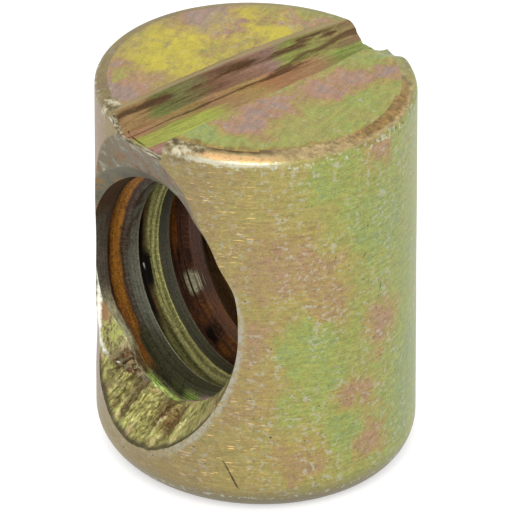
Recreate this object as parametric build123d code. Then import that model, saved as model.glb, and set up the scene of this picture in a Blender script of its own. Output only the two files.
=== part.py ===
from build123d import *
import os
from math import cos, radians, sqrt, tan

# Slotted barrel nut (cross dowel): one steel barrel with a threaded hole across it and a
# screwdriver slot in its upper end. Millimetres. +Z runs up the barrel's axis from the height
# of its base's lowest side, and the threaded hole runs along Y.

# Barrel, sheared off a bar a little out of square at both ends
BARREL_DIAMETER = 10.0
BARREL_HEIGHT = 12.88  # of the slotted end, on the axis
END_LEAN = 2.3  # degrees that the slotted end drops towards +X
BASE_LEAN = 2.6  # degrees that the base rises towards -X
RIM_RADIUS = 0.5  # rounding round the slotted end
NOSE_RADIUS = 1.25  # rounding round the base

# Screwdriver slot, pressed in nearly in line with the threaded hole. Its left flank, on the
# -X side, slopes further in towards the back.
SLOT_WIDTH = 2.52  # at the end face
SLOT_DEPTH_FRONT = 0.72
SLOT_DEPTH_BACK = 0.82
SLOT_LEFT_FOOT_FRONT = 0.48  # how far each flank's foot stands in from the slot's edge
SLOT_LEFT_FOOT_MIDDLE = 0.52
SLOT_LEFT_FOOT_BACK = 1.0
SLOT_RIGHT_FOOT = 0.18
SLOT_FLOOR_RADIUS = 0.15
SLOT_TURN = 2.5  # degrees about the barrel's axis, away from the threaded hole
SLOT_OFFSET = 0.16  # its middle lies this far towards -X

# Threaded hole, bored to the thread's minor diameter, with a countersink at each mouth
BORE_DIAMETER = 6.9
BORE_HEIGHT = 6.48  # its axis above the base's lowest side
COUNTERSINK_ANGLE = 90.0  # degrees
COUNTERSINK_EDGE = 0.06  # how far it widens each mouth where the bore meets the barrel's flanks
# The front mouth's upper half was opened up again, with a slipped countersink and a flatter one
SLIP_RISE = 0.3  # how far the countersink had slipped up
FLAT_COUNTERSINK_ANGLE = 128.0  # degrees
FLAT_COUNTERSINK_REACH = 5.98  # its radius at the barrel's front line

OVERCUT = 1.0  # how far a cutting tool runs past the faces that it cuts

barrel_radius = BARREL_DIAMETER / 2
bore_radius = BORE_DIAMETER / 2


def end_plane():
    """The slotted end: X across it towards the low side, Z out of the nut."""
    return Plane((0, 0, BARREL_HEIGHT)).rotated((0, END_LEAN, 0))


def base_plane():
    """The base, placed so that the rounding on its low side just reaches down to zero height."""
    low_side = (barrel_radius - NOSE_RADIUS, 0, NOSE_RADIUS * (1 - 1 / cos(radians(BASE_LEAN))))
    return Plane(low_side).rotated((0, BASE_LEAN, 0))


def sheared_bar():
    """A length of round bar between the two leaning planes."""
    bar = Pos(0, 0, BARREL_HEIGHT / 2) * Cylinder(barrel_radius, BARREL_HEIGHT + 2 * NOSE_RADIUS)
    waste = Cylinder(2 * BARREL_DIAMETER, BARREL_DIAMETER, align=(Align.CENTER, Align.CENTER, Align.MIN))
    return bar - end_plane() * waste - base_plane() * Rot(180, 0, 0) * waste


def barrel():
    """The bar with its slotted end's rim and its nose rounded."""
    bar = sheared_bar()
    bar = fillet(bar.faces().sort_by(Axis.Z)[0].edges(), NOSE_RADIUS)
    return fillet(bar.faces().sort_by(Axis.Z)[-1].edges(), RIM_RADIUS)


def slot_section(along, left_foot, depth):
    """The slot's section at one place along it, with its flanks carried on above the end face."""
    half = SLOT_WIDTH / 2
    section = make_face(
        Polyline(
            (-half - left_foot / depth * OVERCUT, OVERCUT),
            (-half + left_foot, -depth),
            (half - SLOT_RIGHT_FOOT, -depth),
            (half + SLOT_RIGHT_FOOT / depth * OVERCUT, OVERCUT),
            close=True,
        )
    )
    section = fillet(section.vertices().group_by(Axis.Y)[0], SLOT_FLOOR_RADIUS)
    return Plane((0, along, 0), x_dir=(1, 0, 0), z_dir=(0, -1, 0)) * section


def slot_tool():
    """A bar through the slot's three sections, lying in the slotted end."""
    run = barrel_radius + OVERCUT
    middle_depth = (SLOT_DEPTH_FRONT + SLOT_DEPTH_BACK) / 2
    bar = loft(
        [
            slot_section(-run, SLOT_LEFT_FOOT_FRONT, SLOT_DEPTH_FRONT),
            slot_section(0, SLOT_LEFT_FOOT_MIDDLE, middle_depth),
            slot_section(run, SLOT_LEFT_FOOT_BACK, SLOT_DEPTH_BACK),
        ]
    )
    return end_plane() * Rot(0, 0, SLOT_TURN) * Pos(-SLOT_OFFSET, 0, 0) * bar


def threaded_hole_tool():
    """The bore through the barrel along Y, opening out into a countersink at each mouth."""
    slope = tan(radians(COUNTERSINK_ANGLE / 2))
    flank_radius = bore_radius + COUNTERSINK_EDGE
    flank_reach = sqrt(barrel_radius**2 - flank_radius**2)
    cone_foot = flank_reach - COUNTERSINK_EDGE / slope
    cone_end = barrel_radius + OVERCUT
    cone_radius = bore_radius + (cone_end - cone_foot) * slope
    section = Polyline(
        (0, -cone_end),
        (cone_radius, -cone_end),
        (bore_radius, -cone_foot),
        (bore_radius, cone_foot),
        (cone_radius, cone_end),
        (0, cone_end),
        close=True,
    )
    return Pos(0, 0, BORE_HEIGHT) * revolve(make_face(section), Axis.Y)


def front_cone(angle, reach, sweep):
    """A cone that opens towards the front from inside the bore. Reach is its radius at the front line."""
    slope = tan(radians(angle / 2))
    small = 0.9 * bore_radius
    foot = barrel_radius - (reach - small) / slope
    end = barrel_radius + OVERCUT
    section = Polyline(
        (0, -foot), (small, -foot), (small + (end - foot) * slope, -end), (0, -end), close=True
    )
    return revolve(make_face(section), Axis.Y, revolution_arc=sweep)


def front_mouth_tool():
    """What opened the front mouth's upper half: a slipped countersink and a flatter one."""
    flank_reach = sqrt(barrel_radius**2 - (bore_radius + COUNTERSINK_EDGE) ** 2)
    slope = tan(radians(COUNTERSINK_ANGLE / 2))
    reach = bore_radius + COUNTERSINK_EDGE + (barrel_radius - flank_reach) * slope
    slipped = Pos(0, 0, BORE_HEIGHT + SLIP_RISE) * front_cone(COUNTERSINK_ANGLE, reach, 360)
    flat = front_cone(FLAT_COUNTERSINK_ANGLE, FLAT_COUNTERSINK_REACH, -180)
    return slipped + Pos(0, 0, BORE_HEIGHT) * flat


def barrel_nut():
    """The whole nut."""
    return barrel() - slot_tool() - threaded_hole_tool() - front_mouth_tool()


os.makedirs("parts", exist_ok=True)
export_step(barrel_nut(), "parts/barrel_nut.step")
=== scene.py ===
from math import atan2, cos, hypot, pi, radians, sin, tan

import bpy
from bpy.props import FloatProperty, FloatVectorProperty, PointerProperty
from mathutils import Matrix, Vector


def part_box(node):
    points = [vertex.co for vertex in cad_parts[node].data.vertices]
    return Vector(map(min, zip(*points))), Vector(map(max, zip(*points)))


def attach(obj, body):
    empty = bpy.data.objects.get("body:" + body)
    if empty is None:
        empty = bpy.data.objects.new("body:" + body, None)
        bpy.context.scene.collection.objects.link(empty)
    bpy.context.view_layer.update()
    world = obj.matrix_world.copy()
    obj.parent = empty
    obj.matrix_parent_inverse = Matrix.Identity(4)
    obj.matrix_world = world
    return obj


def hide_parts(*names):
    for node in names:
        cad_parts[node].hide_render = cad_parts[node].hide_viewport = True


bl_info = {
    "name": "Barrel nut",
    "version": (1, 0, 0),
    "blender": (4, 5, 0),
    "location": "3D View > Sidebar > Barrel nut",
    "description": "Dresses a slotted steel barrel nut: its thread, coined slot, torn hole edge and finish",
    "category": "Object",
}

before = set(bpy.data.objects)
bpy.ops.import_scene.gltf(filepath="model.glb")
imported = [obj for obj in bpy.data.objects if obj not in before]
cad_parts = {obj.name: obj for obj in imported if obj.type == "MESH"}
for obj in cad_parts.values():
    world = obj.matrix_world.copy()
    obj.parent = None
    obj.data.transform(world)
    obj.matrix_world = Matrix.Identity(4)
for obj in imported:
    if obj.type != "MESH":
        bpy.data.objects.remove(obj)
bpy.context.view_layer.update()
NODE_LOW, NODE_HIGH = (Vector(corner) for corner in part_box("barrel_nut"))
MM = 0.001
RADIUS = (NODE_HIGH.x - NODE_LOW.x) / 2
TOUCHING = 0.001 * MM
ROUND = 288  # sides of the barrel and of its countersinks
HOLE_ROUND = 128  # sides of the drilled hole

# Knocks and burrs: the place, how far it moved and how far round it the surface followed, in millimetres
KNOCKS = (
    ((-2.3, -3.5, 4.0), (0.2, 0.08, 0.2), 1.5),
    ((0.3, -3.7, 3.0), (0.0, 0.0, -0.16), 1.0),
    ((0.7, 4.75, 12.95), (0.0, 0.0, -0.36), 1.1),
    ((2.3, -4.4, 10.0), (-0.16, -0.08, 0.0), 1.3),
    ((2.9, -4.1, 8.8), (-0.16, -0.11, 0.0), 1.2),
)

# The turn of the ridges' lay where the front mouth's lower lip tore
TORN_LAY = (radians(44), 0, radians(-15))

# Where the film on the wall has a thickness of its own: place and reach in millimetres, thickness 0 to 1
WALL_PATCHES = (
    ((4.3, -2.7, 9.0), 2.0, 0.30), ((4.7, -1.8, 8.6), 1.4, 0.28), ((4.9, -1.1, 7.5), 1.2, 0.34),
    ((3.9, -3.1, 6.2), 1.4, 0.28), ((4.8, -1.3, 11.6), 1.0, 0.88), ((5.0, -0.6, 12.0), 0.8, 0.86),
    ((5.0, 0.2, 10.6), 1.6, 0.84), ((4.9, 1.0, 9.5), 1.7, 0.92), ((4.9, 0.8, 12.0), 0.9, 0.30),
    ((4.7, -1.7, 5.7), 1.6, 0.90), ((4.9, -1.2, 4.3), 1.2, 0.88), ((4.6, -2.0, 3.8), 1.0, 0.80),
    ((4.9, 1.0, 6.0), 1.3, 0.24), ((5.0, -0.1, 3.7), 1.3, 0.24), ((4.2, 2.7, 4.3), 1.4, 0.98),
    ((4.9, -0.6, 2.8), 1.2, 0.90), ((4.4, 2.3, 2.4), 1.4, 0.95), ((5.0, 0.5, 2.0), 0.9, 0.22),
    ((4.5, -2.1, 1.9), 1.1, 0.28), ((3.3, -3.8, 2.0), 1.5, 0.52), ((3.6, -3.5, 4.2), 1.4, 0.40),
    ((-2.6, -4.3, 4.0), 2.4, 0.08), ((-2.6, -4.3, 11.0), 2.2, 0.12), ((4.0, 3.0, 7.6), 1.8, 0.90),
    ((1.6, 4.6, 11.0), 1.8, 0.92), ((-1.4, 4.8, 1.6), 2.2, 0.90), ((-4.4, 2.4, 9.4), 2.4, 0.16),
    ((-4.8, 1.0, 4.4), 2.2, 0.78), ((-4.6, -1.9, 7.4), 1.8, 0.24), ((-3.0, 4.0, 5.6), 1.8, 0.12),
)

# The same on the slotted end
END_PATCHES = (
    ((-3.1, -1.0, 13.0), 2.0, 0.57), ((-2.6, 2.4, 13.0), 2.0, 0.57), ((-3.5, 1.3, 13.0), 1.7, -0.05),
    ((-1.9, 3.2, 13.0), 1.1, 0.0), ((-2.0, -3.7, 13.0), 1.3, -0.05), ((-3.0, -3.6, 13.0), 1.4, -0.05),
    ((-2.9, -3.1, 13.0), 0.6, 0.70), ((-2.1, -2.7, 13.0), 0.8, 0.20), ((-2.0, 3.9, 13.0), 0.6, 0.74),
    ((2.2, -1.8, 12.8), 1.4, 0.04), ((1.7, -0.5, 12.8), 1.1, 0.0), ((1.8, 1.1, 12.8), 1.2, 0.10),
    ((1.8, 2.4, 12.8), 1.0, 0.10), ((2.0, 3.6, 12.8), 0.9, 0.0), ((2.9, 1.9, 12.8), 1.0, 0.86),
    ((1.4, 3.7, 12.8), 0.7, 0.88), ((1.7, -3.5, 12.8), 0.8, 0.90), ((3.1, -1.3, 12.8), 1.0, 0.72),
)


def linear(hex_colour):
    """An sRGB hex colour as linear red, green, blue and alpha."""
    channels = [int(hex_colour[i : i + 2], 16) / 255 for i in (0, 2, 4)]
    return tuple(c / 12.92 if c <= 0.04045 else ((c + 0.055) / 1.055) ** 2.4 for c in channels) + (1.0,)


# What a user can set


def length(name, description, millimetres):
    return FloatProperty(
        name=name, description=description, default=millimetres * MM, unit="LENGTH", precision=5
    )


def angle(name, description, degrees):
    return FloatProperty(name=name, description=description, default=radians(degrees), subtype="ANGLE")


def colour(name, description, hex_colour):
    return FloatVectorProperty(
        name=name, description=description, default=linear(hex_colour), size=4, min=0, max=1, subtype="COLOR"
    )


class BarrelSettings(bpy.types.PropertyGroup):
    end_height: length("End height", "Height of the slotted end on the barrel's axis", 12.88)
    end_lean: angle("End lean", "How far the slotted end drops towards +X", 2.3)
    base_lean: angle("Base lean", "How far the base rises towards -X", 2.6)
    nose_radius: length("Nose radius", "Rounding between the wall and the base", 1.25)
    rim_width: length("Rim width", "Width of the dressed edge round the slotted end", 0.6)
    rim_drop: length("Rim drop", "How far the dressed edge falls before it rounds over", 0.11)


class HoleSettings(bpy.types.PropertyGroup):
    height: length("Height", "Height of the threaded hole's axis above the base", 6.48)
    major_diameter: length("Major diameter", "Thread diameter at its roots", 8.0)
    minor_diameter: length("Minor diameter", "Thread diameter at its crests", 6.9)
    pitch: length("Pitch", "Distance between turns", 1.25)
    start: length("Start", "Where the first groove passes the hole's -X side", -2.75)
    mouth_depth: length("Mouth depth", "Where the countersink starts, from the barrel's axis", 3.62)


class SlotSettings(bpy.types.PropertyGroup):
    width: length("Width", "Width of the slot at the end face", 2.52)
    depth: length("Depth", "Depth of the slot", 0.82)
    turn: angle("Turn", "Turn of the slot away from the threaded hole", 2.5)
    offset: length("Offset", "Shift of the slot's middle towards -X", 0.16)


class FinishSettings(bpy.types.PropertyGroup):
    film_mauve: colour("Film, mauve", "Chromate film, first of its colours", "A78F80")
    film_salmon: colour("Film, salmon", "Chromate film, second of its colours", "BA9074")
    film_tan: colour("Film, tan", "Chromate film, third of its colours", "AA8F62")
    film_gold: colour("Film, gold", "Chromate film, fourth of its colours", "B1995A")
    film_straw: colour("Film, straw", "Chromate film, fifth of its colours", "AEA15A")
    film_olive: colour("Film, olive", "Chromate film, sixth of its colours", "A8A05A")
    film_lime: colour("Film, lime", "Chromate film, seventh of its colours", "A2AA56")
    film_green: colour("Film, green", "Chromate film, last of its colours", "95A468")
    film_yellow: colour("Film, yellow", "Chromate film, bright patches on the slotted end", "CABA46")
    zinc: colour("Bare zinc", "Zinc that shows where the film is rubbed off", "BCBCA8")
    steel: colour("Worn steel", "Steel and zinc rubbed dull at an edge", "8F8E80")
    pit: colour("Pit", "Dark spots and scratches", "3A3022")
    rust: colour("Rust", "Orange rust film in the thread's roots", "A66E28")


SETTINGS = {
    "nut_barrel": BarrelSettings,
    "nut_hole": HoleSettings,
    "nut_slot": SlotSettings,
    "nut_finish": FinishSettings,
}


# Modelling helpers


def select_only(piece):
    """Deselects all, then selects the piece and makes it the active one."""
    bpy.ops.object.select_all(action="DESELECT")
    piece.select_set(True)
    bpy.context.view_layer.objects.active = piece


def start(primitive, *materials, **settings):
    """Adds a primitive, puts its place, turn and size into its mesh, and gives it its materials."""
    bpy.ops.object.select_all(action="DESELECT")
    primitive(**settings)
    piece = bpy.context.object
    settle(piece)
    for material in materials:
        piece.data.materials.append(material)
    return piece


def settle(piece):
    select_only(piece)
    bpy.ops.object.transform_apply(location=True, rotation=True, scale=True)


def edit(piece, mode="FACE", action="DESELECT"):
    """Enters edit mode with all or nothing selected."""
    select_only(piece)
    bpy.ops.object.mode_set(mode="EDIT")
    bpy.ops.mesh.select_mode(type=mode)
    bpy.ops.mesh.select_all(action=action)


def leave_edit():
    bpy.ops.object.mode_set(mode="OBJECT")


def pick(piece, test, kind="polygons"):
    """In edit mode, selects what passes a test of a vertex's place, an edge's middle and way, or a face's
    middle and normal.
    """
    bpy.ops.mesh.select_all(action="DESELECT")
    bpy.ops.object.mode_set(mode="OBJECT")
    mesh = piece.data
    for item in getattr(mesh, kind):
        if kind == "vertices":
            item.select = test(item.co)
        elif kind == "edges":
            ends = [mesh.vertices[i].co for i in item.vertices]
            item.select = test((ends[0] + ends[1]) / 2, ends[1] - ends[0])
        else:
            item.select = test(item.center, item.normal)
    bpy.ops.object.mode_set(mode="EDIT")


def divide(piece, cuts, test):
    """Subdivides the edges that pass the test."""
    edit(piece, "EDGE")
    pick(piece, test, "edges")
    bpy.ops.mesh.subdivide(number_cuts=cuts)
    leave_edit()


def recalculate_normals(piece):
    edit(piece, action="SELECT")
    bpy.ops.mesh.remove_doubles(threshold=0.002 * MM)
    bpy.ops.mesh.normals_make_consistent(inside=False)
    leave_edit()


def keep_above(piece, height):
    """Cuts off what lies below a height and closes the cut."""
    edit(piece, action="SELECT")
    bpy.ops.mesh.bisect(plane_co=(0, 0, height), plane_no=(0, 0, -1), use_fill=True, clear_outer=True)
    leave_edit()
    recalculate_normals(piece)
    return piece


def apply_modifier(piece, kind, name, **settings):
    select_only(piece)
    modifier = piece.modifiers.new(name, kind)
    for key, value in settings.items():
        setattr(modifier, key, value)
    bpy.ops.object.modifier_apply(modifier=modifier.name)


def push(piece, place, move, reach):
    """Moves the surface near a place, fading out over the reach, as a knock does. All in millimetres."""
    edit(piece, "VERT")
    middle = Vector(place) * MM
    nearest = min((v.co - middle).length for v in piece.data.vertices)
    pick(piece, lambda co: (co - middle).length <= nearest, "vertices")
    bpy.ops.transform.translate(value=Vector(move) * MM, use_proportional_edit=True,
                                proportional_edit_falloff="SMOOTH", proportional_size=reach * MM)
    leave_edit()


def cut(piece, tool):
    """Cuts the tool out of the piece and removes the tool. The cut faces keep the tool's material."""
    apply_modifier(piece, "BOOLEAN", "cut", operation="DIFFERENCE", object=tool, solver="EXACT",
                   material_mode="TRANSFER")
    bpy.data.objects.remove(tool)


def roughen(piece, depth, size, stretch, lay=(0, 0, 0), group="", shift=0, detail=1, level=0.5):
    """Moves the surface in and out by a noise whose lumps have a size, stretched along each axis of its lay.

    Lengths are in millimetres. Shift takes another part of the noise.
    """
    texture = bpy.data.textures.new("roughness", "CLOUDS")
    texture.noise_scale = 1.0
    texture.noise_depth = detail
    grain = bpy.data.objects.new("grain", None)
    bpy.context.scene.collection.objects.link(grain)
    grain.location = (shift * MM, shift * MM, shift * MM)
    grain.rotation_euler = lay
    grain.scale = [size * MM * s for s in stretch]
    bpy.context.view_layer.update()
    apply_modifier(piece, "DISPLACE", "roughen", texture=texture, texture_coords="OBJECT",
                   texture_coords_object=grain, strength=depth * MM, mid_level=level, vertex_group=group)
    bpy.data.objects.remove(grain)
    bpy.data.textures.remove(texture)


# The nut's shape


def end_place():
    """The slotted end's plane, as a matrix from its middle, leaning towards +X."""
    barrel = bpy.context.scene.nut_barrel
    return Matrix.Translation((0, 0, barrel.end_height)) @ Matrix.Rotation(barrel.end_lean, 4, "Y")


def make_barrel(wall, ends):
    """The turned blank: a bar cropped out of square, with a broken rim and a rounded nose."""
    barrel = bpy.context.scene.nut_barrel
    nut = start(bpy.ops.mesh.primitive_cylinder_add, wall, ends, vertices=ROUND, radius=RADIUS, depth=16 * MM,
                location=(0, 0, 6 * MM))
    nut.name = "barrel_nut_body"
    edit(nut)
    end = end_place()
    upward = end.to_3x3() @ Vector((0, 0, 1))
    downward = Vector((-sin(barrel.base_lean), 0, -cos(barrel.base_lean)))
    foot = Vector((RADIUS - barrel.nose_radius, 0, 0))
    for point, normal in ((end.translation, upward), (foot, downward)):
        bpy.ops.mesh.select_all(action="SELECT")
        bpy.ops.mesh.bisect(plane_co=point, plane_no=normal, use_fill=True, clear_outer=True)

    def over_end(co):
        return (co - end.translation).dot(upward)

    # The dressed rim falls away from the end face, then rounds over into the wall
    pick(nut, lambda middle, normal: over_end(middle) > -TOUCHING)
    bpy.ops.mesh.inset(thickness=barrel.rim_width)
    pick(nut, lambda co: over_end(co) > -TOUCHING and co.xy.length > RADIUS - 0.1 * MM, "vertices")
    bpy.ops.transform.translate(value=(0, 0, -barrel.rim_drop))
    pick(nut, lambda middle, way: abs(over_end(middle) + barrel.rim_drop) < 0.01 * MM, "edges")
    bpy.ops.mesh.bevel(offset=0.19 * MM, segments=5, profile=0.5, affect="EDGES")
    pick(nut, lambda middle, way: over_end(middle) > -TOUCHING, "edges")
    bpy.ops.mesh.bevel(offset=0.2 * MM, segments=4, profile=0.5, affect="EDGES")
    pick(nut, lambda middle, way: abs((middle - foot).dot(downward)) < TOUCHING, "edges")
    bpy.ops.mesh.bevel(offset=barrel.nose_radius, segments=14, profile=0.5, affect="EDGES")
    pick(nut, lambda middle, way: way.length > 5 * MM and abs(way.z) > 0.9 * way.length, "edges")
    bpy.ops.mesh.subdivide(number_cuts=60)
    pick(nut, lambda middle, normal: abs(normal.z) > 0.9 and middle.xy.length < 1 * MM)
    for ring in (0.6, 1.2, 1.2):
        bpy.ops.mesh.inset(thickness=ring * MM)
    pick(nut, lambda middle, normal: abs(normal.z) > 0.99)
    nut.active_material_index = 1
    bpy.ops.object.material_slot_assign()
    leave_edit()
    return nut


def make_drill_tool(material, front, back, shift=0, rise=0):
    """A cutter of the thread's minor diameter, between two places along the hole. All in millimetres."""
    hole = bpy.context.scene.nut_hole
    return start(bpy.ops.mesh.primitive_cylinder_add, material, vertices=HOLE_ROUND,
                 radius=hole.minor_diameter / 2, depth=back * MM - front * MM, rotation=(pi / 2, 0, 0),
                 location=(shift * MM, (front * MM + back * MM) / 2, hole.height + rise * MM))


def make_thread_tool(material):
    """The tap's groove: one section swept round and up the hole, from the lower lip of the front mouth."""
    hole = bpy.context.scene.nut_hole
    major = hole.major_diameter / 2
    minor = hole.minor_diameter / 2
    flank = (major - minor) * tan(radians(30))
    root = hole.pitch / 8
    inside = 0.2 * MM
    # The sweep runs from the lower right, round by -X, to short of the back mouth
    turns = 4.5
    parts = 6
    first_bearing = radians(312)
    first = hole.start - hole.pitch * (first_bearing - pi) / (2 * pi)
    tool = start(bpy.ops.mesh.primitive_plane_add, material, size=MM)
    edit(tool, "VERT", "SELECT")
    bpy.ops.mesh.merge(type="CENTER")
    bpy.ops.transform.translate(value=(minor - inside, first - root / 2 - flank, 0))
    for step in ((inside, 0, 0), (major - minor, flank, 0), (0, root, 0), (minor - major, flank, 0),
                 (-inside, 0, 0)):
        bpy.ops.mesh.extrude_region_move(TRANSFORM_OT_translate={"value": step})
    bpy.ops.mesh.select_all(action="SELECT")
    bpy.ops.mesh.edge_face_add()
    bpy.ops.mesh.delete(type="ONLY_FACE")
    leave_edit()
    apply_modifier(tool, "SCREW", "helix", axis="Y", angle=2 * pi * turns / parts,
                   screw_offset=hole.pitch * turns / parts, iterations=parts, steps=240, render_steps=240,
                   use_merge_vertices=True, merge_threshold=0.002 * MM)
    tool.data.transform(Matrix.Translation((0, 0, hole.height)) @ Matrix.Rotation(-first_bearing, 4, "Y"))
    edit(tool, action="SELECT")
    bpy.ops.mesh.fill_holes(sides=0)
    leave_edit()
    recalculate_normals(tool)
    return tool


def make_cone_tool(side, small, foot, half_angle, rise, material):
    """A cone that widens outwards along the hole from a radius of small at foot.

    Side is -1 at the front mouth and 1 at the back one.
    """
    hole = bpy.context.scene.nut_hole
    depth = 2.2 * MM
    tool = start(bpy.ops.mesh.primitive_cone_add, material, vertices=ROUND,
                 radius1=small + depth * tan(half_angle), radius2=small, depth=depth,
                 rotation=(side * pi / 2, 0, 0),
                 location=(0, side * (foot + depth / 2), hole.height + rise))
    divide(tool, 36, lambda middle, way: abs(way.y) > 2 * MM)
    return tool


def make_countersink_tool(side, smooth, rise=0.0):
    """The 90 degree countersink at one mouth."""
    hole = bpy.context.scene.nut_hole
    inside = 0.15 * MM
    return make_cone_tool(side, hole.minor_diameter / 2 - inside, hole.mouth_depth - inside, radians(45),
                          rise, smooth)


def make_upper_countersink_tool(smooth):
    """The front countersink slipped upwards, so it cut deeper above the hole's middle than below it."""
    return keep_above(make_countersink_tool(-1, smooth, 0.38 * MM), bpy.context.scene.nut_hole.height)


def make_dish_tool(material):
    """The shallow wide chamfer that the front mouth has on its upper side only."""
    tool = make_cone_tool(-1, 3.3 * MM, 3.672 * MM, radians(64), 0.0, material)
    return keep_above(tool, bpy.context.scene.nut_hole.height + 0.213 * MM)


def make_torn_tool(smooth, torn):
    """The lower lip of the front mouth, where the metal broke away in ridges and lumps."""
    hole = bpy.context.scene.nut_hole
    tool = make_countersink_tool(-1, smooth)
    tool.data.materials.append(torn)

    def ramp(value, width):
        return min(1, max(0, value / width))

    def bearing(co):
        return atan2(co.z - hole.height, co.x)

    def left_end(co):
        """The break's left end, which leans: it lies further round at the hole's rim than at the wall."""
        return radians(-134 + 32 * ramp(4.1 * MM - hypot(co.x, co.z - hole.height), 0.65 * MM))

    edit(tool)
    pick(tool, lambda middle, normal: (
        left_end(middle) < bearing(middle) < radians(-46) and abs(normal.y) < 0.9
    ))
    tool.active_material_index = 1
    bpy.ops.object.material_slot_assign()
    bpy.ops.mesh.subdivide(number_cuts=1)
    leave_edit()
    ridged = tool.vertex_groups.new(name="ridged")
    for vertex in tool.data.vertices:
        co = vertex.co
        weight = ramp(radians(36) - abs(bearing(co) - radians(-96)), radians(9))
        weight *= ramp(-co.y - 3.6 * MM, 0.15 * MM)
        weight *= max(0.05, ramp(5.03 * MM - co.xy.length, 0.4 * MM))
        ridged.add([vertex.index], weight, "REPLACE")
    roughen(tool, 0.46, 0.30, (1, 7, 1), TORN_LAY, "ridged", detail=0, level=0.56)
    roughen(tool, 0.2, 0.14, (1, 3, 1), TORN_LAY, "ridged", 3, level=0.55)
    roughen(tool, 0.09, 0.07, (1, 3, 1), TORN_LAY, "ridged", 7)
    return tool


def make_slot_tool(material):
    """A tapered bar whose left foot wanders, as a coined slot's does."""
    slot = bpy.context.scene.nut_slot
    run = 13
    tool = start(bpy.ops.mesh.primitive_cube_add, material, size=1, location=(-slot.offset, 0, 0),
                 scale=(slot.width, run * MM, 2 * slot.depth))
    divide(tool, 5, lambda middle, way: abs(way.y) > 5 * MM)
    # Foot moves at seven stations along the slot, front to back: left foot, right foot, floor's rise
    stations = (
        (0.50, -0.06, 0.10),
        (0.50, -0.06, 0.08),
        (0.46, -0.10, 0.04),
        (0.50, -0.20, 0.02),
        (0.70, -0.20, 0.00),
        (0.94, -0.60, 0.00),
        (1.00, -0.80, 0.00),
    )
    edit(tool, "VERT")
    for index, (left, right, rise) in enumerate(stations):
        y = (-run / 2 + run / 6 * index) * MM
        for side, shift in ((-1, left), (1, right)):
            pick(tool, lambda co: co.z < 0 and (co.x + slot.offset) * side > 0 and abs(co.y - y) < 0.2 * MM,
                 "vertices")
            bpy.ops.transform.translate(value=(shift * MM, 0, rise * MM))
    # Above the end face the left flank keeps its slope
    pick(tool, lambda co: co.z > 0 and co.x + slot.offset < 0, "vertices")
    bpy.ops.transform.translate(value=(-0.62 * MM, 0, 0))
    pick(tool, lambda co: co.z > 0 and co.x + slot.offset < 0 and co.y > 4 * MM, "vertices")
    bpy.ops.transform.translate(value=(0.35 * MM, 0, 0))
    leave_edit()
    # Fine enough for the folds, first along the slot, then across its floor, then up its flanks
    divide(tool, 24, lambda middle, way: abs(way.y) > 1.5 * MM)
    divide(tool, 12, lambda middle, way: abs(way.z) < 0.3 * abs(way.x) and middle.z < 0)
    divide(tool, 24, lambda middle, way: abs(way.z) > max(0.3 * abs(way.x), 2 * abs(way.y)))
    roughen(tool, 0.1, 0.3, (1, 7, 1))
    roughen(tool, 0.03, 0.1, (1, 14, 1), detail=2)
    tool.matrix_world = end_place() @ Matrix.Rotation(slot.turn, 4, "Z")
    settle(tool)
    return tool


# Materials


def as_tint(value):
    return linear(value) if isinstance(value, str) else value


def add(tree, kind, inputs=(), stops=(), **settings):
    """Adds a shader node. Inputs is {socket: value}, where a value that is a node or a socket is linked.

    A colour is an sRGB hex string or linear already.
    """
    node = tree.nodes.new("ShaderNode" + kind)
    for key, value in settings.items():
        setattr(node, key, value)
    for socket, value in dict(inputs).items():
        if isinstance(value, bpy.types.Node):
            value = next(output for output in value.outputs if output.enabled)
        if isinstance(value, bpy.types.NodeSocket):
            tree.links.new(value, node.inputs[socket])
        else:
            node.inputs[socket].default_value = as_tint(value)
    for position, tint in stops[1:-1]:
        node.color_ramp.elements.new(position)
    for index, (position, tint) in enumerate(stops):
        node.color_ramp.elements[index].position = position
        node.color_ramp.elements[index].color = as_tint(tint)
    return node


def new_material(name):
    material = bpy.data.materials.new(name)
    material.use_nodes = True
    material.node_tree.nodes.clear()
    return material, material.node_tree


def metal(tree, tint, metallic, tone, smooth, rough, relief):
    """The surface of a metal, whose roughness and fine relief in millimetres follow one tone."""
    shader = add(tree, "BsdfPrincipled", {
        "Base Color": tint,
        "Metallic": metallic,
        "Roughness": add(tree, "MapRange", {0: tone, 1: 0.3, 2: 0.7, 3: smooth, 4: rough}),
        "Normal": add(tree, "Bump", {"Height": tone, "Distance": relief * MM, "Strength": 1}),
    })
    add(tree, "OutputMaterial", {"Surface": shader})


def millimetres(tree, size=(1, 1, 1), turn=(0, 0, 0)):
    """The object's own coordinates, turned, in units of a size in millimetres along each turned axis."""
    place = add(tree, "TexCoord").outputs["Object"]
    return add(tree, "Mapping", {"Vector": place, "Rotation": turn, "Scale": [s * MM for s in size]},
               vector_type="TEXTURE")


def cloud(tree, size, detail=2, roughness=0.5, turn=(0, 0, 0)):
    """Soft noise, 0 to 1, with lumps of a size in millimetres, for all or along each turned axis."""
    size = size if isinstance(size, tuple) else (size, size, size)
    return add(tree, "TexNoise", {"Vector": millimetres(tree, size, turn), "Scale": 1, "Detail": detail,
                                  "Roughness": roughness})


def around(tree, *spots):
    """1 near any of the spots, each a place and a reach in millimetres, fading out at the reach."""
    near = None
    for place, reach in spots:
        gap = add(tree, "VectorMath", {0: millimetres(tree), 1: place}, operation="DISTANCE")
        spot = add(tree, "MapRange", {0: gap, 1: reach, 2: 0.4 * reach}, interpolation_type="SMOOTHSTEP")
        near = spot if near is None else add(tree, "Math", {0: near, 1: spot}, operation="MAXIMUM")
    return near


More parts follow.
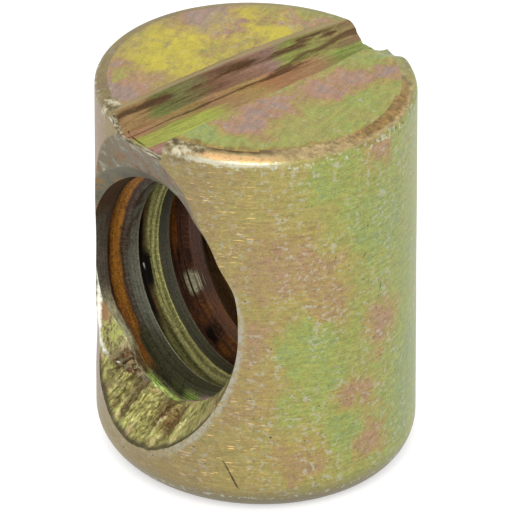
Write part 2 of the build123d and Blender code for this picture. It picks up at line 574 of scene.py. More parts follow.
def meet(tree, *masks):
    """Where all of several masks meet.

    A mask is a node or a number, or a place and a reach as above, or a value and where it starts and is full,
    then what the mask is before that and beyond it, if not 0 and 1.
    """
    met = None
    for mask in masks:
        if isinstance(mask, tuple):
            mask = around(tree, mask) if len(mask) == 2 else add(tree, "MapRange", dict(enumerate(mask)))
        met = mask if met is None else add(tree, "Math", {0: met, 1: mask}, operation="MULTIPLY")
    return met


def band(tree, value, low, high, soft):
    """1 where the value lies between low and high, fading out over soft on both sides."""
    return meet(tree, (value, low - soft, low), (value, high + soft, high))


def painted(tree, below, layers):
    """Lays colours over the ones before them. A layer is its colour and the masks that have to meet."""
    for tint, *masks in layers:
        below = add(tree, "Mix", {0: meet(tree, *masks), 6: below, 7: tint}, data_type="RGBA")
    return below


def scratch(tree, first, last, width):
    """1 along a line between two places in millimetres."""
    point = millimetres(tree)
    way = Vector(last) - Vector(first)
    offset = add(tree, "VectorMath", {0: point, 1: first}, operation="SUBTRACT")
    share = add(tree, "VectorMath", {0: offset, 1: way / way.length_squared}, operation="DOT_PRODUCT")
    held = add(tree, "Math", {0: share, 1: 0}, operation="ADD", use_clamp=True)
    nearest = add(tree, "VectorMath", {0: held, 1: way, 2: first}, operation="MULTIPLY_ADD")
    gap = add(tree, "VectorMath", {0: point, 1: nearest}, operation="DISTANCE")
    wander = add(tree, "Math", {0: cloud(tree, 0.15, 3), 1: 1.5 * width, 2: gap}, operation="MULTIPLY_ADD")
    return add(tree, "MapRange", {0: wander, 1: 1.9 * width, 2: 1.1 * width})


def scratches(tree, tint, line, widths):
    """The layers of a scratch that runs through several places, with a width from each to the next."""
    return [(tint, scratch(tree, *piece)) for piece in zip(line, line[1:], widths)]


def lit(tree, tint, tone, low, high):
    """Darkens and brightens a colour by a tone of 0.3 to 0.7."""
    value = add(tree, "MapRange", {0: tone, 1: 0.3, 2: 0.7, 3: low, 4: high})
    return add(tree, "HueSaturation", {"Color": tint, "Value": value})


def film(tree, base, patches, mottle):
    """The chromate film's colour, from its thickness, 0 to 1: base, then each patch's own, with a mottle.

    A patch is its place and reach in millimetres and its thickness.
    """
    finish = bpy.context.scene.nut_finish
    drift = add(tree, "TexNoise", {"Vector": millimetres(tree), "Scale": 0.9, "Detail": 5, "Roughness": 0.7})
    centred = add(tree, "VectorMath", {0: drift.outputs["Color"], 1: (0.5, 0.5, 0.5)}, operation="SUBTRACT")
    ragged = add(tree, "VectorMath", {0: centred, 1: (2.6, 2.6, 2.6), 2: millimetres(tree)},
                 operation="MULTIPLY_ADD")
    thickness = base
    for place, reach, own in patches:
        gap = add(tree, "VectorMath", {0: ragged, 1: place}, operation="DISTANCE")
        inside = add(tree, "MapRange", {0: gap, 1: reach, 2: 0.3 * reach}, interpolation_type="SMOOTHSTEP")
        thickness = add(tree, "Mix", {0: inside, 2: thickness, 3: own})
    for lumps in (cloud(tree, (0.6, 0.6, 0.5), 6, 0.74), cloud(tree, (0.2, 0.2, 0.11), 3, 0.7)):
        spread = add(tree, "Math", {0: lumps, 1: mottle, 2: -mottle / 2}, operation="MULTIPLY_ADD")
        thickness = add(tree, "Math", {0: thickness, 1: spread}, operation="ADD")
    return add(tree, "ValToRGB", {"Fac": thickness}, stops=(
        (0.00, finish.film_mauve), (0.14, finish.film_salmon), (0.30, finish.film_tan),
        (0.44, finish.film_gold), (0.56, finish.film_straw), (0.70, finish.film_olive),
        (0.84, finish.film_lime), (1.00, finish.film_green)))


def hole_distance(tree):
    """The distance from the hole's axis in millimetres."""
    hole = bpy.context.scene.nut_hole
    across = add(tree, "VectorMath", {0: millimetres(tree), 1: (1, 0, 1), 2: (0, 0, -hole.height / MM)},
                 operation="MULTIPLY_ADD")
    return add(tree, "VectorMath", {0: across}, operation="LENGTH")


def axis_distance(tree):
    """The distance from the barrel's axis in millimetres."""
    flat = add(tree, "VectorMath", {0: millimetres(tree), 1: (1, 1, 0)}, operation="MULTIPLY")
    return add(tree, "VectorMath", {0: flat}, operation="LENGTH")


def levelled_height(tree):
    """A point's height in millimetres, as if the slotted end were tipped level."""
    lean = bpy.context.scene.nut_barrel.end_lean
    return add(tree, "VectorMath", {0: millimetres(tree), 1: (tan(lean), 0, 1)}, operation="DOT_PRODUCT")


def turned_chromate():
    """Yellow chromated zinc on a turned bar.

    The film's thickness drifts, which gives patches of gold, salmon and green. Turning left hair-fine rings,
    the zinc shows in rubbed flecks, and edges are worn grey. Light is painted in as well: golden glints near
    the mouth, a dark painted reflection and painted highlights on the rim's rounding, and painted shade
    towards -X and -Y and towards the base.
    """
    finish = bpy.context.scene.nut_finish
    barrel = bpy.context.scene.nut_barrel
    material, tree = new_material("turned_yellow_chromate")
    ways = add(tree, "SeparateXYZ", {0: millimetres(tree)})
    height = ways.outputs["Z"]
    across = add(tree, "VectorMath", {0: millimetres(tree), 1: (0.64, 0.77, 0)}, operation="DOT_PRODUCT")
    base = add(tree, "MapRange", {0: across, 1: -1.6, 2: 4.2, 3: 0.42, 4: 0.84})
    # Turning rings, drawn 0.06 mm apart because finer ones wouldn't show, and the plated surface's dimples
    rings = cloud(tree, (1.2, 1.2, 0.06), 3, 0.6)
    speck = cloud(tree, (0.08, 0.08, 0.06), 2, 0.6)
    tone = add(tree, "Mix", {0: 0.55, 2: rings, 3: speck})
    tone = add(tree, "Mix", {0: 0.35, 2: tone, 3: cloud(tree, (0.24, 0.24, 0.14), 3, 0.6)})
    # Rubbed flecks about 0.15 mm across, in loose upright chains
    flecks = meet(tree, (cloud(tree, (0.2, 0.2, 0.15), 5, 0.66), 0.545, 0.60, 0, 0.9))
    chains = (cloud(tree, (0.7, 0.7, 2.0), 3), 0.40, 0.54, 0, 0.7)
    dust = (cloud(tree, (0.11, 0.11, 0.09), 2, 0.6), 0.66, 0.72, 0, 0.6)
    # Painted highlights: short golden glints, laid only near the front mouth
    gold_glint_highlights = (cloud(tree, (0.4, 0.4, 0.045), 2), 0.64, 0.72)
    near_mouth = around(tree, ((2.8, -4.1, 10.4), 2.4), ((2.8, -4.1, 2.9), 2.6))
    pits = (cloud(tree, (0.2, 0.2, 0.13), 1), 0.76, 0.80)
    # The dressed rim: how far a point has gone outwards and down from the end face's edge
    under_end = add(tree, "Math", {0: barrel.end_height / MM, 1: levelled_height(tree)}, operation="SUBTRACT")
    girth = axis_distance(tree)
    outwards = add(tree, "Math", {0: girth, 1: 4.2}, operation="SUBTRACT")
    rim = add(tree, "Math", {0: outwards, 1: under_end}, operation="ADD")
    wave = cloud(tree, 0.35, 4, 0.7)
    rim = add(tree, "Math", {0: wave, 1: 0.3, 2: rim}, operation="MULTIPLY_ADD")
    # The front of the rim, where its painted highlights lie
    rim_highlight_place = ((2.9, -4.0, 12.6), 2.6)
    crumbs = cloud(tree, 0.14, 4, 0.7)
    # Broken scuffs, which also break up the rim's painted highlight
    scuffs_and_highlight_breaks = meet(tree, (crumbs, 0.36, 0.5, 0.25))
    whitest = add(tree, "Math", {0: scuffs_and_highlight_breaks, 1: around(tree, ((2.2, -4.5, 12.5), 1.8))}, operation="MAXIMUM")
    scraped = cloud(tree, (0.25, 0.25, 0.1), 4, 0.72)
    grimy = add(tree, "ValToRGB", {"Fac": cloud(tree, (0.35, 0.3, 0.35), 4, 0.62)},
                stops=((0.38, "5A4C32"), (0.50, "8A7C56"), (0.62, "CCC4A6")))
    # Worn edges of the hole and of the base
    depth = add(tree, "Math", {0: ways.outputs["Y"]}, operation="ABSOLUTE")
    beyond = add(tree, "Math", {0: hole_distance(tree), 1: depth}, operation="SUBTRACT")
    beyond = add(tree, "Math", {0: wave, 1: 0.3, 2: beyond}, operation="MULTIPLY_ADD")
    nose = add(tree, "Math", {0: wave, 1: 0.35, 2: height}, operation="MULTIPLY_ADD")
    # The scoop over the front mouth lies inside the turned wall
    rusty = add(tree, "ValToRGB", {"Fac": cloud(tree, (0.35, 0.35, 0.7), 5, 0.72)}, stops=(
        (0.34, "3E3020"), (0.43, "7E5A2A"), (0.48, "6A5A3E"), (0.55, "66624C"), (0.66, "98937A")))
    layers = (
        ("6A5C38", dust),
        ("B2AE9C", flecks, chains),
        # Painted shade: the wall darker towards its -X, -Y side
        ("766C50", (across, 1.5, -2.5, 0, 0.45)),
        (rusty, (girth, 4.99, 4.96), ((-0.4, -4.5, 11.2), 4.5), (under_end, 0.45, 0.6)),
        # Painted highlight: golden glints near the front mouth
        ("F0C878", gold_glint_highlights, near_mouth),
        (finish.pit, pits),
        # Painted shade: the wall darker towards the base
        ("776D50", band(tree, height, -1.0, 0.5, 0.6)),
        ("A6A897", band(tree, nose, 0.82, 0.92, 0.06), flecks),
        ("A09C8A", band(tree, beyond, -0.3, 0.16, 0.16), (height, 8.4, 7.8), (crumbs, 0.42, 0.55, 0.15),
         (ways.outputs["X"], 0.6, 2.0, 0.2)),
        (lit(tree, "B09A6C", scraped, 0.4, 1.5), (rim, 1.1, 0.9), ((4.2, 0.4, 12.6), 5.5)),
        (lit(tree, "987A44", scraped, 0.3, 1.5), band(tree, rim, 0.2, 0.75, 0.1),
         ((4.2, 2.0, 12.6), 3.0)),
        # Painted reflection: a dark band along the front of the rim's upper rounding
        ("5E4724", band(tree, rim, 0.24, 0.52, 0.12), ((2.6, -4.3, 12.6), 3.2)),
        # Painted highlight: peach along the front of the rim's lower rounding
        ("E2B880", band(tree, rim, 0.76, 0.98, 0.10), rim_highlight_place, scuffs_and_highlight_breaks),
        # The worn corner below it: bare metal with a painted highlight on it
        ("C2BCA2", band(tree, rim, 1.10, 1.22, 0.07), rim_highlight_place, whitest),
        (finish.zinc, band(tree, rim, 1.06, 1.30, 0.08), flecks),
        (grimy, ((1.6, -4.4, 12.7), 0.7)),
        (grimy, ((2.1, -4.1, 12.7), 0.5)),
        (grimy, ((-1.6, -4.5, 12.8), 0.55)),
        *scratches(tree, finish.pit, ((2.5, -4.3, 2.7), (3.1, -3.9, 2.0), (3.5, -3.6, 1.0)), (0.03, 0.035)),
        *scratches(tree, finish.pit, ((4.9, 0.9, 7.4), (4.9, 0.8, 7.0), (4.93, 0.65, 6.6)), (0.035, 0.035)),
        *scratches(tree, finish.pit, ((4.98, 0.2, 8.7), (4.98, 0.1, 8.6)), (0.05,)),
        *scratches(tree, finish.steel, ((1.2, -4.85, 11.9), (2.1, -4.5, 10.6), (2.75, -4.15, 9.2),
                                        (3.2, -3.8, 8.0)), (0.05, 0.06, 0.08)),
    )
    coat = lit(tree, film(tree, base, WALL_PATCHES, 0.62), tone, 0.40, 1.14)
    metal(tree, painted(tree, coat, layers), 0.5, tone, 0.34, 0.52, 0.018)
    return material


def cropped_chromate():
    """Yellow chromated zinc on the cropped and filed ends: flatter than the wall and mottled."""
    finish = bpy.context.scene.nut_finish
    material, tree = new_material("cropped_yellow_chromate")
    filed = (0, 0, radians(-60))
    sideways = add(tree, "SeparateXYZ", {0: millimetres(tree)}).outputs["X"]
    base = add(tree, "MapRange", {0: sideways, 1: -1.2, 2: 0.6, 3: 0.46, 4: 0.76})
    broad = cloud(tree, (0.5, 0.16, 0.3), 3, 0.6, filed)
    tone = add(tree, "Mix", {0: 0.55, 2: broad, 3: cloud(tree, 0.07, 3, 0.7)})
    sunny = around(tree, ((-2.7, -0.9, 12.9), 2.4), ((-2.3, 2.0, 12.9), 2.0))
    frayed = add(tree, "Math", {0: cloud(tree, 0.3, 4, 0.7), 1: 0.8, 2: axis_distance(tree)},
                 operation="MULTIPLY_ADD")
    layers = (
        (lit(tree, finish.film_yellow, tone, 0.7, 1.2), (cloud(tree, 0.9, 6, 0.7, filed), 0.42, 0.56), sunny),
        (lit(tree, "9A7F46", broad, 0.5, 1.5), (frayed, 4.62, 4.76, 0, 0.85),
         ((3.2, -2.6, 12.8), 4.6)),
        (finish.zinc, (cloud(tree, 0.2, 4, 0.65), 0.60, 0.70), 0.6),
        (finish.pit, (cloud(tree, 0.2, 1), 0.80, 0.84)),
    )
    coat = lit(tree, film(tree, base, END_PATCHES, 0.55), tone, 0.55, 1.25)
    metal(tree, painted(tree, coat, layers), 0.5, tone, 0.38, 0.55, 0.012)
    return material


def coined_chromate():
    """Yellow chromated zinc in the pressed slot: drawn out along it in folds, darker on its left flank,
    partly as painted shade.
    """
    slot = bpy.context.scene.nut_slot
    material, tree = new_material("coined_yellow_chromate")
    turn = (0, 0, slot.turn)
    ways = add(tree, "SeparateXYZ", {0: millimetres(tree, (1, 1, 1), turn)})
    across = ways.outputs["X"]
    along = ways.outputs["Y"]
    rise = levelled_height(tree)
    brim = bpy.context.scene.nut_barrel.end_height / MM
    bottom = brim - slot.depth / MM
    wander = cloud(tree, (0.3, 1.8, 0.3), 3, 0.6, turn)
    ragged = add(tree, "Math", {0: wander, 1: 0.5, 2: across}, operation="MULTIPLY_ADD")
    lay = cloud(tree, (0.08, 1.6, 0.08), 3, 0.62, turn)
    tone = add(tree, "Mix", {0: 0.4, 2: lay, 3: cloud(tree, (0.06, 0.12, 0.06), 2, 0.6, turn)})
    # The flank's and the floor's colours from the front of the slot to its back; the left flank's are darker,
    # partly as painted shade
    share = add(tree, "Math", {0: wander, 1: 1.6, 2: along}, operation="MULTIPLY_ADD")
    share = add(tree, "MapRange", {0: share, 1: -4.2, 2: 5.8})
    flank = add(tree, "ValToRGB", {"Fac": share}, stops=(
        (0.00, "9C7E54"), (0.14, "9A7C50"), (0.20, "70783E"), (0.34, "787046"), (0.42, "7C5A42"),
        (0.56, "8E6C56"), (0.66, "987A6C"), (0.72, "8A9248"), (0.82, "908C4E"), (1.00, "8C7050")))
    floor = add(tree, "ValToRGB", {"Fac": share}, stops=(
        (0.00, "A67A58"), (0.12, "AE8A64"), (0.30, "A08A50"), (0.40, "A8825E"), (0.54, "B0945A"),
        (0.62, "B0805A"), (0.80, "A98660"), (0.88, "8F9C50"), (1.00, "8C9450")))
    burr = add(tree, "ValToRGB", {"Fac": cloud(tree, (0.4, 0.1, 0.1), 4, 0.7)},
               stops=((0.40, "5E5238"), (0.50, "8C8262"), (0.60, "C2BDA8")))
    left = (across, 0.2, -0.2)
    front = (along, -0.6, -1.6)
    pressed = painted(tree, floor, (
        ("A9B04E", band(tree, ragged, -0.22, 0.30, 0.12), front),
        ("AF7F78", band(tree, ragged, 0.62, 1.0, 0.12), front),
        # The left flank: its film colours, darkened in part as painted shade
        (flank, (rise, bottom + 0.07, bottom + 0.15), left),
        # Painted shadow: a dark brown band under the brink of the left flank
        ("5A4024", band(tree, rise, brim - 0.38, brim - 0.20, 0.08), left, (wander, 0.42, 0.56)),
    ))
    layers = (
        # Painted shade: dark lines along the floor's left crease and along a fold in it
        ("5A4024", band(tree, ragged, -0.58, -0.52, 0.05), 0.8),
        ("5A3E22", band(tree, ragged, 0.44, 0.50, 0.05), ((0.2, 1.0, 12.1), 2.6)),
        ("A08E68", band(tree, rise, brim - 0.08, brim - 0.03, 0.04), left),
        ("33200F", ((-1.2, -4.1, 12.2), 0.3)),
        (burr, (along, -4.6, -4.72)),
        (burr, ((1.2, -4.8, 12.3), 0.75)),
        *scratches(tree, "4E3E28", ((-1.3, -4.35, 12.3), (-0.4, -4.55, 12.15), (0.8, -4.6, 12.1)),
                   (0.04, 0.04)),
    )
    coat = lit(tree, pressed, tone, 0.62, 1.34)
    metal(tree, painted(tree, coat, layers), 0.5, tone, 0.32, 0.5, 0.03)
    return material


def cut_thread():
    """Tapped steel: scored round the hole, thinly plated near the mouth, with rust, grime and painted shadow
    in its roots, and painted highlights along its crests and flanks.
    """
    finish = bpy.context.scene.nut_finish
    hole = bpy.context.scene.nut_hole
    material, tree = new_material("tapped_steel")
    ways = add(tree, "SeparateXYZ", {0: millimetres(tree)})
    down = add(tree, "Math", {0: hole.height / MM, 1: ways.outputs["Z"]}, operation="SUBTRACT")
    left = add(tree, "Math", {0: ways.outputs["X"], 1: -1}, operation="MULTIPLY")
    bearing = add(tree, "Math", {0: down, 1: left}, operation="ARCTAN2")
    # How many turns a point lies past the first groove's middle, counted along the helix
    along = add(tree, "Math", {0: ways.outputs["Y"], 1: MM / hole.pitch, 2: -hole.start / hole.pitch},
                operation="MULTIPLY_ADD")
    wound = add(tree, "Math", {0: bearing, 1: 0.5 / pi, 2: along}, operation="MULTIPLY_ADD")
    helix = add(tree, "CombineXYZ", {0: wound, 1: bearing, 2: hole_distance(tree)})
    # Scores round the hole, 0.05 mm apart
    scored = add(tree, "VectorMath", {0: helix, 1: (25, 0.6, 12)}, operation="MULTIPLY")
    score = add(tree, "TexNoise", {"Vector": scored, "Scale": 1, "Detail": 2, "Roughness": 0.6})
    swung = add(tree, "VectorMath", {0: helix, 1: (4, 1.6, 2)}, operation="MULTIPLY")
    swing = add(tree, "TexNoise", {"Vector": swung, "Scale": 1, "Detail": 5, "Roughness": 0.7})
    wandering = add(tree, "Math", {0: swing, 1: 0.12, 2: wound}, operation="MULTIPLY_ADD")
    tone = add(tree, "Mix", {0: 0.6, 2: score, 3: cloud(tree, 0.07, 3, 0.7)})
    # The colours along the helix, each at the turn where it lies: on the hole's left side, then at its foot.
    # Besides rust, stains and the thin plating they hold painted light: painted shadow and painted shade
    # behind the crests, pale painted highlight lines along the crests' far edges, and the far flanks'
    # yellow-green brightened in stripes as a painted highlight
    # Painted shadow on the near flank and root behind each crest
    painted_shadow = "17110D"
    # Painted shade in the near flanks of the grooves
    crevice_shade = "3A2818"
    olive = "403E29"
    # The far flank's yellow-green, brightened into stripes of painted highlight
    lime = "CBC67E"
    side_stops = (
        (-0.70, "5E584A"), (-0.32, "54483A"), (-0.20, "3E2A1E"), (0.06, "4A2E1C"), (0.09, finish.rust),
        (0.20, finish.rust), (0.23, "4A3426"), (0.32, "5E5B4C"), (0.46, "69695A"), (0.62, "6C6C5C"),
        (0.66, "8E8B74"), (0.70, painted_shadow), (1.08, painted_shadow), (1.11, "6A4A28"), (1.16, "7E7848"), (1.19, lime),
        (1.22, "6A6836"), (1.25, lime), (1.28, "6E6C3A"), (1.31, lime), (1.34, "47442E"), (1.60, "4C4A38"),
        (1.69, "5A5646"), (1.75, "3A2418"), (2.30, "5E3B28"), (2.62, "4E3324"), (2.80, "76481F"),
        (3.00, "5E4424"),
    )
    foot_stops = (
        (-0.70, "7A7044"), (-0.20, "86804A"), (-0.14, crevice_shade), (-0.07, crevice_shade), (-0.04, "7E9A50"),
        (0.03, "9AA85C"), (0.07, "8B8A60"), (0.11, olive), (0.64, "4A4830"), (0.68, "97947C"),
        (0.71, painted_shadow), (0.90, painted_shadow), (0.96, "7C7450"), (1.02, "4A452A"), (1.10, "7E7C48"),
        (1.15, "5C5A32"), (1.21, "B4B070"), (1.26, "69663A"), (1.31, "A8A264"), (1.35, olive),
        (1.64, "434029"), (1.69, "7B775E"), (1.73, crevice_shade), (2.30, "5E3B28"), (2.80, "76481F"),
        (3.00, "5E4424"),
    )
    first_turn = -0.7
    turns = 3.7
    wander_middle = 0.06
    share = add(tree, "MapRange", {0: wandering, 1: first_turn + wander_middle,
                                   2: first_turn + turns + wander_middle})
    side, foot = (
        add(tree, "ValToRGB", {"Fac": share}, stops=[((at - first_turn) / turns, tint) for at, tint in row])
        for row in (side_stops, foot_stops)
    )
    low = add(tree, "Math", {0: swing, 1: 0.6, 2: bearing}, operation="MULTIPLY_ADD")
    # The helix's colours, the foot's laid over the side's low down, with their painted shadow and highlights
    worn = painted(tree, side, ((foot, (low, radians(58), radians(72))),))
    brushed = add(tree, "ValToRGB", {"Fac": swing},
                  stops=((0.40, "5A4428"), (0.50, "8C8460"), (0.60, "B0A884")))
    green_with_painted_light = add(tree, "ValToRGB", {"Fac": score},
                       stops=((0.36, "7C9C44"), (0.50, "B2D062"), (0.62, "DCE298")))
    groove = (wandering, 0.32, 0.24)
    clotted = (swing, 0.44, 0.50)
    layers = (
        # A strip and blobs of orange rust in the deep groove, where the painted shadow widens for a short way
        ("9A5C20", band(tree, wandering, 2.10, 2.19, 0.02), ((-3.7, -0.5, 6.6), 1.9)),
        (painted_shadow, band(tree, wandering, 1.06, 1.24, 0.03), ((-3.6, -1.4, 5.1), 0.9)),
        ("20150E", around(tree, ((-3.4, -0.25, 5.15), 0.5), ((-1.75, -0.25, 3.15), 0.45)), clotted),
        ("7E5020", around(tree, ((-2.4, -0.2, 3.65), 0.5), ((-1.1, -0.1, 2.9), 0.5)), clotted),
        # Painted highlight: a patch of pale glints in the deep groove
        ("B4B28E", (score, 0.46, 0.56), ((-3.0, -0.1, 4.4), 0.5)),
        # The first groove's foot turns pink, then brown, and the first crest's top is stained
        ("BC949A", groove, ((1.2, -3.1, 2.95), 0.85)),
        ("6A5034", groove, ((1.9, -3.1, 3.2), 1.0)),
        ("4A3022", (cloud(tree, (0.4, 0.3, 0.5), 5, 0.72), 0.48, 0.54, 0, 0.85), ((-2.9, -2.4, 8.2), 2.9),
         band(tree, wandering, 0.27, 0.62, 0.05)),
        # The rim: stained where the tap wandered, ragged brown at the left, bright green at the bottom, the
        # film's green brightened there with painted light
        ("553C2C", (ways.outputs["Y"], -2.95, -3.1), (ways.outputs["Z"], 7.6, 8.4)),
        ("8E5A26", band(tree, wandering, 0.07, 0.21, 0.03), ((-2.6, -2.8, 3.6), 1.5)),
        (brushed, (wandering, -0.22, -0.28), ((-2.2, -3.4, 3.8), 2.2)),
        (green_with_painted_light, around(tree, ((-0.5, -3.4, 3.1), 0.75), ((0.3, -3.2, 3.0), 0.7)), groove),
        # The side where the bearing starts again, which only the back mouth shows, is one even colour
        ("56523E", (ways.outputs["X"], 2.1, 2.7)),
    )
    coat = lit(tree, painted(tree, worn, layers), tone, 0.2, 1.85)
    # Painted highlight: a short white glint deep in the hole
    thread_glint_highlight = scratch(tree, (-3.75, -1.45, 5.25), (-3.6, -1.4, 4.8), 0.03)
    metal(tree, painted(tree, coat, (("D8D6CC", thread_glint_highlight),)), 0.4, tone, 0.3, 0.55, 0.015)
    return material


def drilled_chromate():
    """The countersunk mouths: bored smooth, then plated thin, so the steel's grey shows through."""
    material, tree = new_material("countersunk_steel")
    broad = cloud(tree, 0.6, 5, 0.66)
    tone = add(tree, "Mix", {0: 0.6, 2: broad, 3: cloud(tree, 0.06, 3, 0.7)})
    scuff = cloud(tree, (0.12, 0.12, 0.5), 4, 0.7)
    pocket = add(tree, "ValToRGB", {"Fac": scuff}, stops=(
        (0.34, "4E3A22"), (0.44, "7A6E44"), (0.50, "8A8658"), (0.58, "9C9470"), (0.70, "C9C5AE")))
    lower = add(tree, "ValToRGB", {"Fac": scuff},
                stops=((0.34, "4E3E22"), (0.46, "847A44"), (0.56, "9A8C56"), (0.68, "BDB690")))
    lumps = add(tree, "ValToRGB", {"Fac": cloud(tree, 0.16, 3, 0.6)},
                stops=((0.40, "3A2A1A"), (0.50, "6E4C28"), (0.60, "7A7454")))
    layers = (
        ("8A6A34", (broad, 0.46, 0.55), ((-2.7, -3.9, 8.6), 1.7)),
        (lower, ((2.4, -4.2, 3.8), 2.2)),
        (pocket, ((-2.4, -4.0, 4.2), 2.2)),
        ("84603C", ((-3.15, -3.75, 4.6), 0.55)),
        # The pocket's yellow-green: partly the film's colour, partly a painted reflection
        ("9CA446", (scuff, 0.46, 0.58, 0, 0.85), ((-2.5, -3.8, 4.1), 0.6)),
        (lumps, ((-1.6, -3.8, 3.35), 0.85)),
        # The bright burr down the break's left side: worn bare metal, with a painted highlight along its edge
        *scratches(tree, "E0DED2", ((-3.36, -3.57, 6.0), (-3.2, -3.71, 5.0), (-2.87, -3.99, 4.0),
                                    (-2.56, -4.04, 3.6), (-2.25, -3.98, 3.4), (-1.67, -3.81, 3.25)),
                   (0.091, 0.104, 0.104, 0.091, 0.039)),
    )
    coat = lit(tree, "6B6755", tone, 0.3, 1.7)
    metal(tree, painted(tree, coat, layers), 0.5, tone, 0.4, 0.55, 0.015)
    return material


def torn_chromate():
    """Steel that tore out in ridges, then yellow chromated: khaki ridges with painted highlight on the tops
    that stand out, darker brown in the hollows between them.
    """
    material, tree = new_material("torn_yellow_chromate")
    inwards = add(tree, "SeparateXYZ", {0: millimetres(tree)}).outputs["Y"]
    ridge = cloud(tree, (0.06, 0.5, 0.06), 4, 0.75, TORN_LAY)
    strand = cloud(tree, (0.4, 2.0, 0.4), 3, 0.6, TORN_LAY)
    grain = cloud(tree, (0.09, 0.26, 0.09), 5, 0.75, TORN_LAY)
    # How deep the break has gone below the countersink's cone
    beyond = add(tree, "Math", {0: hole_distance(tree), 1: inwards}, operation="ADD")
    torn = add(tree, "Math", {0: ridge, 1: 0.25, 2: beyond}, operation="MULTIPLY_ADD")
    base = add(tree, "MapRange", {0: strand, 1: 0.35, 2: 0.65, 3: 0.36, 4: 0.66})
    khaki = add(tree, "ValToRGB", {"Fac": add(tree, "Mix", {0: 0.4, 2: grain, 3: base})}, stops=(
        (0.36, "4E4424"), (0.46, "8A8048"), (0.51, "9C9A5A"), (0.55, "A5AA62"), (0.59, "B5A07C"),
        (0.66, "D2CDA8")))
    layers = (
        ("A98A66", (strand, 0.54, 0.62, 0, 0.6)),
        # Painted highlight: pale tops where the break stands out of the cone
        ("B9B892", (torn, -0.30, -0.42, 0, 0.6)),
        # Darker brown in the hollows of the break
        ("4E3A20", (torn, -0.03, 0.09, 0, 0.8)),
        ("746840", (cloud(tree, 0.2, 4, 0.7), 0.47, 0.53, 0, 0.8), ((-1.8, -4.1, 2.9), 1.1)),
        ("6E4E28", (grain, 0.46, 0.50, 0, 0.9), ((0.7, -4.05, 2.6), 0.8)),
        ("3A2E1C", (axis_distance(tree), 4.84, 4.94, 0, 0.85)),
    )
    coat = lit(tree, khaki, ridge, 0.4, 1.8)
    metal(tree, painted(tree, coat, layers), 0.55, ridge, 0.32, 0.5, 0.03)
    return material


def white_floor():
    """Matt white sheet. It shows as white to the camera and in reflections, and keeps the shadow."""
    material, tree = new_material("matt_white_sheet")
    rays = add(tree, "LightPath")
    shown = add(tree, "Math", {0: rays.outputs["Is Camera Ray"], 1: rays.outputs["Is Glossy Ray"]},
                operation="MAXIMUM")
    shown = add(tree, "Math", {0: shown, 1: rays.outputs["Is Transmission Ray"]}, operation="MAXIMUM")
    shader = add(tree, "BsdfPrincipled", {
        "Base Color": (0.6, 0.6, 0.6, 1),
        "Roughness": 0.9,
        "Emission Color": (1, 1, 1, 1),
        "Emission Strength": meet(tree, shown, 0.55),
    })
    add(tree, "OutputMaterial", {"Surface": shader})
    return material


def make_stage():
    """A pale floor, a light tent with one key light, and the camera."""
    scene = bpy.context.scene
    floor = start(bpy.ops.mesh.primitive_plane_add, white_floor(), size=2)
    floor.name = "floor"
    scene.world = bpy.data.worlds.new("light_tent")
    scene.world.use_nodes = True
    background = scene.world.node_tree.nodes["Background"]
    background.inputs["Color"].default_value = (1, 1, 1, 1)
    background.inputs["Strength"].default_value = 0.85
    azimuth = radians(50)
    elevation = radians(29)
    distance = 0.4
    back = Vector((sin(azimuth) * cos(elevation), -cos(azimuth) * cos(elevation), sin(elevation)))
    up = Vector((-sin(azimuth) * sin(elevation), cos(azimuth) * sin(elevation), cos(elevation)))
    target = Vector((0, 0, 6.4 * MM)) + up * 0.16 * MM
    bpy.ops.object.camera_add(location=target + back * distance,
                              rotation=(-back).to_track_quat("-Z", "Y").to_euler())
    scene.camera = bpy.context.object
    scene.camera.data.lens = 903
    scene.camera.data.sensor_width = 36
    scene.camera.data.clip_start = 0.01
    place = Vector((0.165, -0.150, 0.200))
    bpy.ops.object.light_add(type="AREA", location=place)
    key = bpy.context.object
    key.name = "key"
    key.data.size = 0.12
    key.data.energy = 0.55
    key.rotation_euler = (Vector((0, 0, 6 * MM)) - place).to_track_quat("-Z", "Y").to_euler()
    scene.view_settings.view_transform = "Standard"


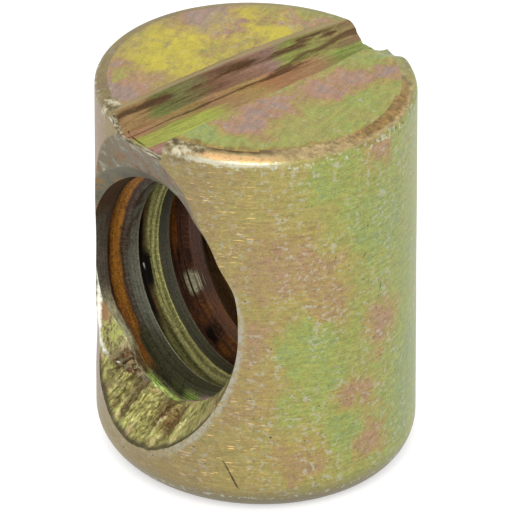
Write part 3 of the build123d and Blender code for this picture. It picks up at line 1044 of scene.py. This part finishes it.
def make_nut():
    wall = turned_chromate()
    smooth = drilled_chromate()
    thread = cut_thread()
    nut = make_barrel(wall, cropped_chromate())
    cut(nut, make_drill_tool(thread, -6, 6))
    cut(nut, make_thread_tool(thread))
    # The tap wandered upwards as it entered, which opened the hole's upper edge
    cut(nut, make_drill_tool(thread, -5.4, -2.8, -0.08, 0.44))
    cut(nut, make_countersink_tool(1, smooth))
    cut(nut, make_upper_countersink_tool(smooth))
    cut(nut, make_torn_tool(smooth, torn_chromate()))
    cut(nut, make_dish_tool(wall))
    cut(nut, make_slot_tool(coined_chromate()))
    for place, move, reach in KNOCKS:
        push(nut, place, move, reach)
    select_only(nut)
    bpy.ops.object.shade_smooth_by_angle(angle=radians(35))
    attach(nut, "root")
    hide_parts("barrel_nut")


class BARRELNUT_OT_nut(bpy.types.Operator):
    """Builds the barrel nut with its cut thread, coined slot and finish"""

    bl_idname = "barrel_nut.make_nut"
    bl_label = "Barrel nut"

    def execute(self, context):
        make_nut()
        return {"FINISHED"}


class BARRELNUT_OT_stage(bpy.types.Operator):
    """Adds the pale floor, the light and the camera"""

    bl_idname = "barrel_nut.make_stage"
    bl_label = "Stage"

    def execute(self, context):
        make_stage()
        return {"FINISHED"}


class BARRELNUT_PT_panel(bpy.types.Panel):
    bl_label = "Barrel nut"
    bl_idname = "BARRELNUT_PT_panel"
    bl_space_type = "VIEW_3D"
    bl_region_type = "UI"
    bl_category = "Barrel nut"

    def draw(self, context):
        for key, settings in SETTINGS.items():
            box = self.layout.box()
            for name in settings.__annotations__:
                box.prop(getattr(context.scene, key), name)
        self.layout.operator(BARRELNUT_OT_nut.bl_idname)
        self.layout.operator(BARRELNUT_OT_stage.bl_idname)


CLASSES = (*SETTINGS.values(), BARRELNUT_OT_nut, BARRELNUT_OT_stage, BARRELNUT_PT_panel)


def register():
    for item in CLASSES:
        bpy.utils.register_class(item)
    for key, settings in SETTINGS.items():
        setattr(bpy.types.Scene, key, PointerProperty(type=settings))


def unregister():
    for key in SETTINGS:
        delattr(bpy.types.Scene, key)
    for item in reversed(CLASSES):
        bpy.utils.unregister_class(item)


def main():
    register()
    bpy.ops.barrel_nut.make_nut()
    bpy.ops.barrel_nut.make_stage()


if __name__ == "__main__":
    main()
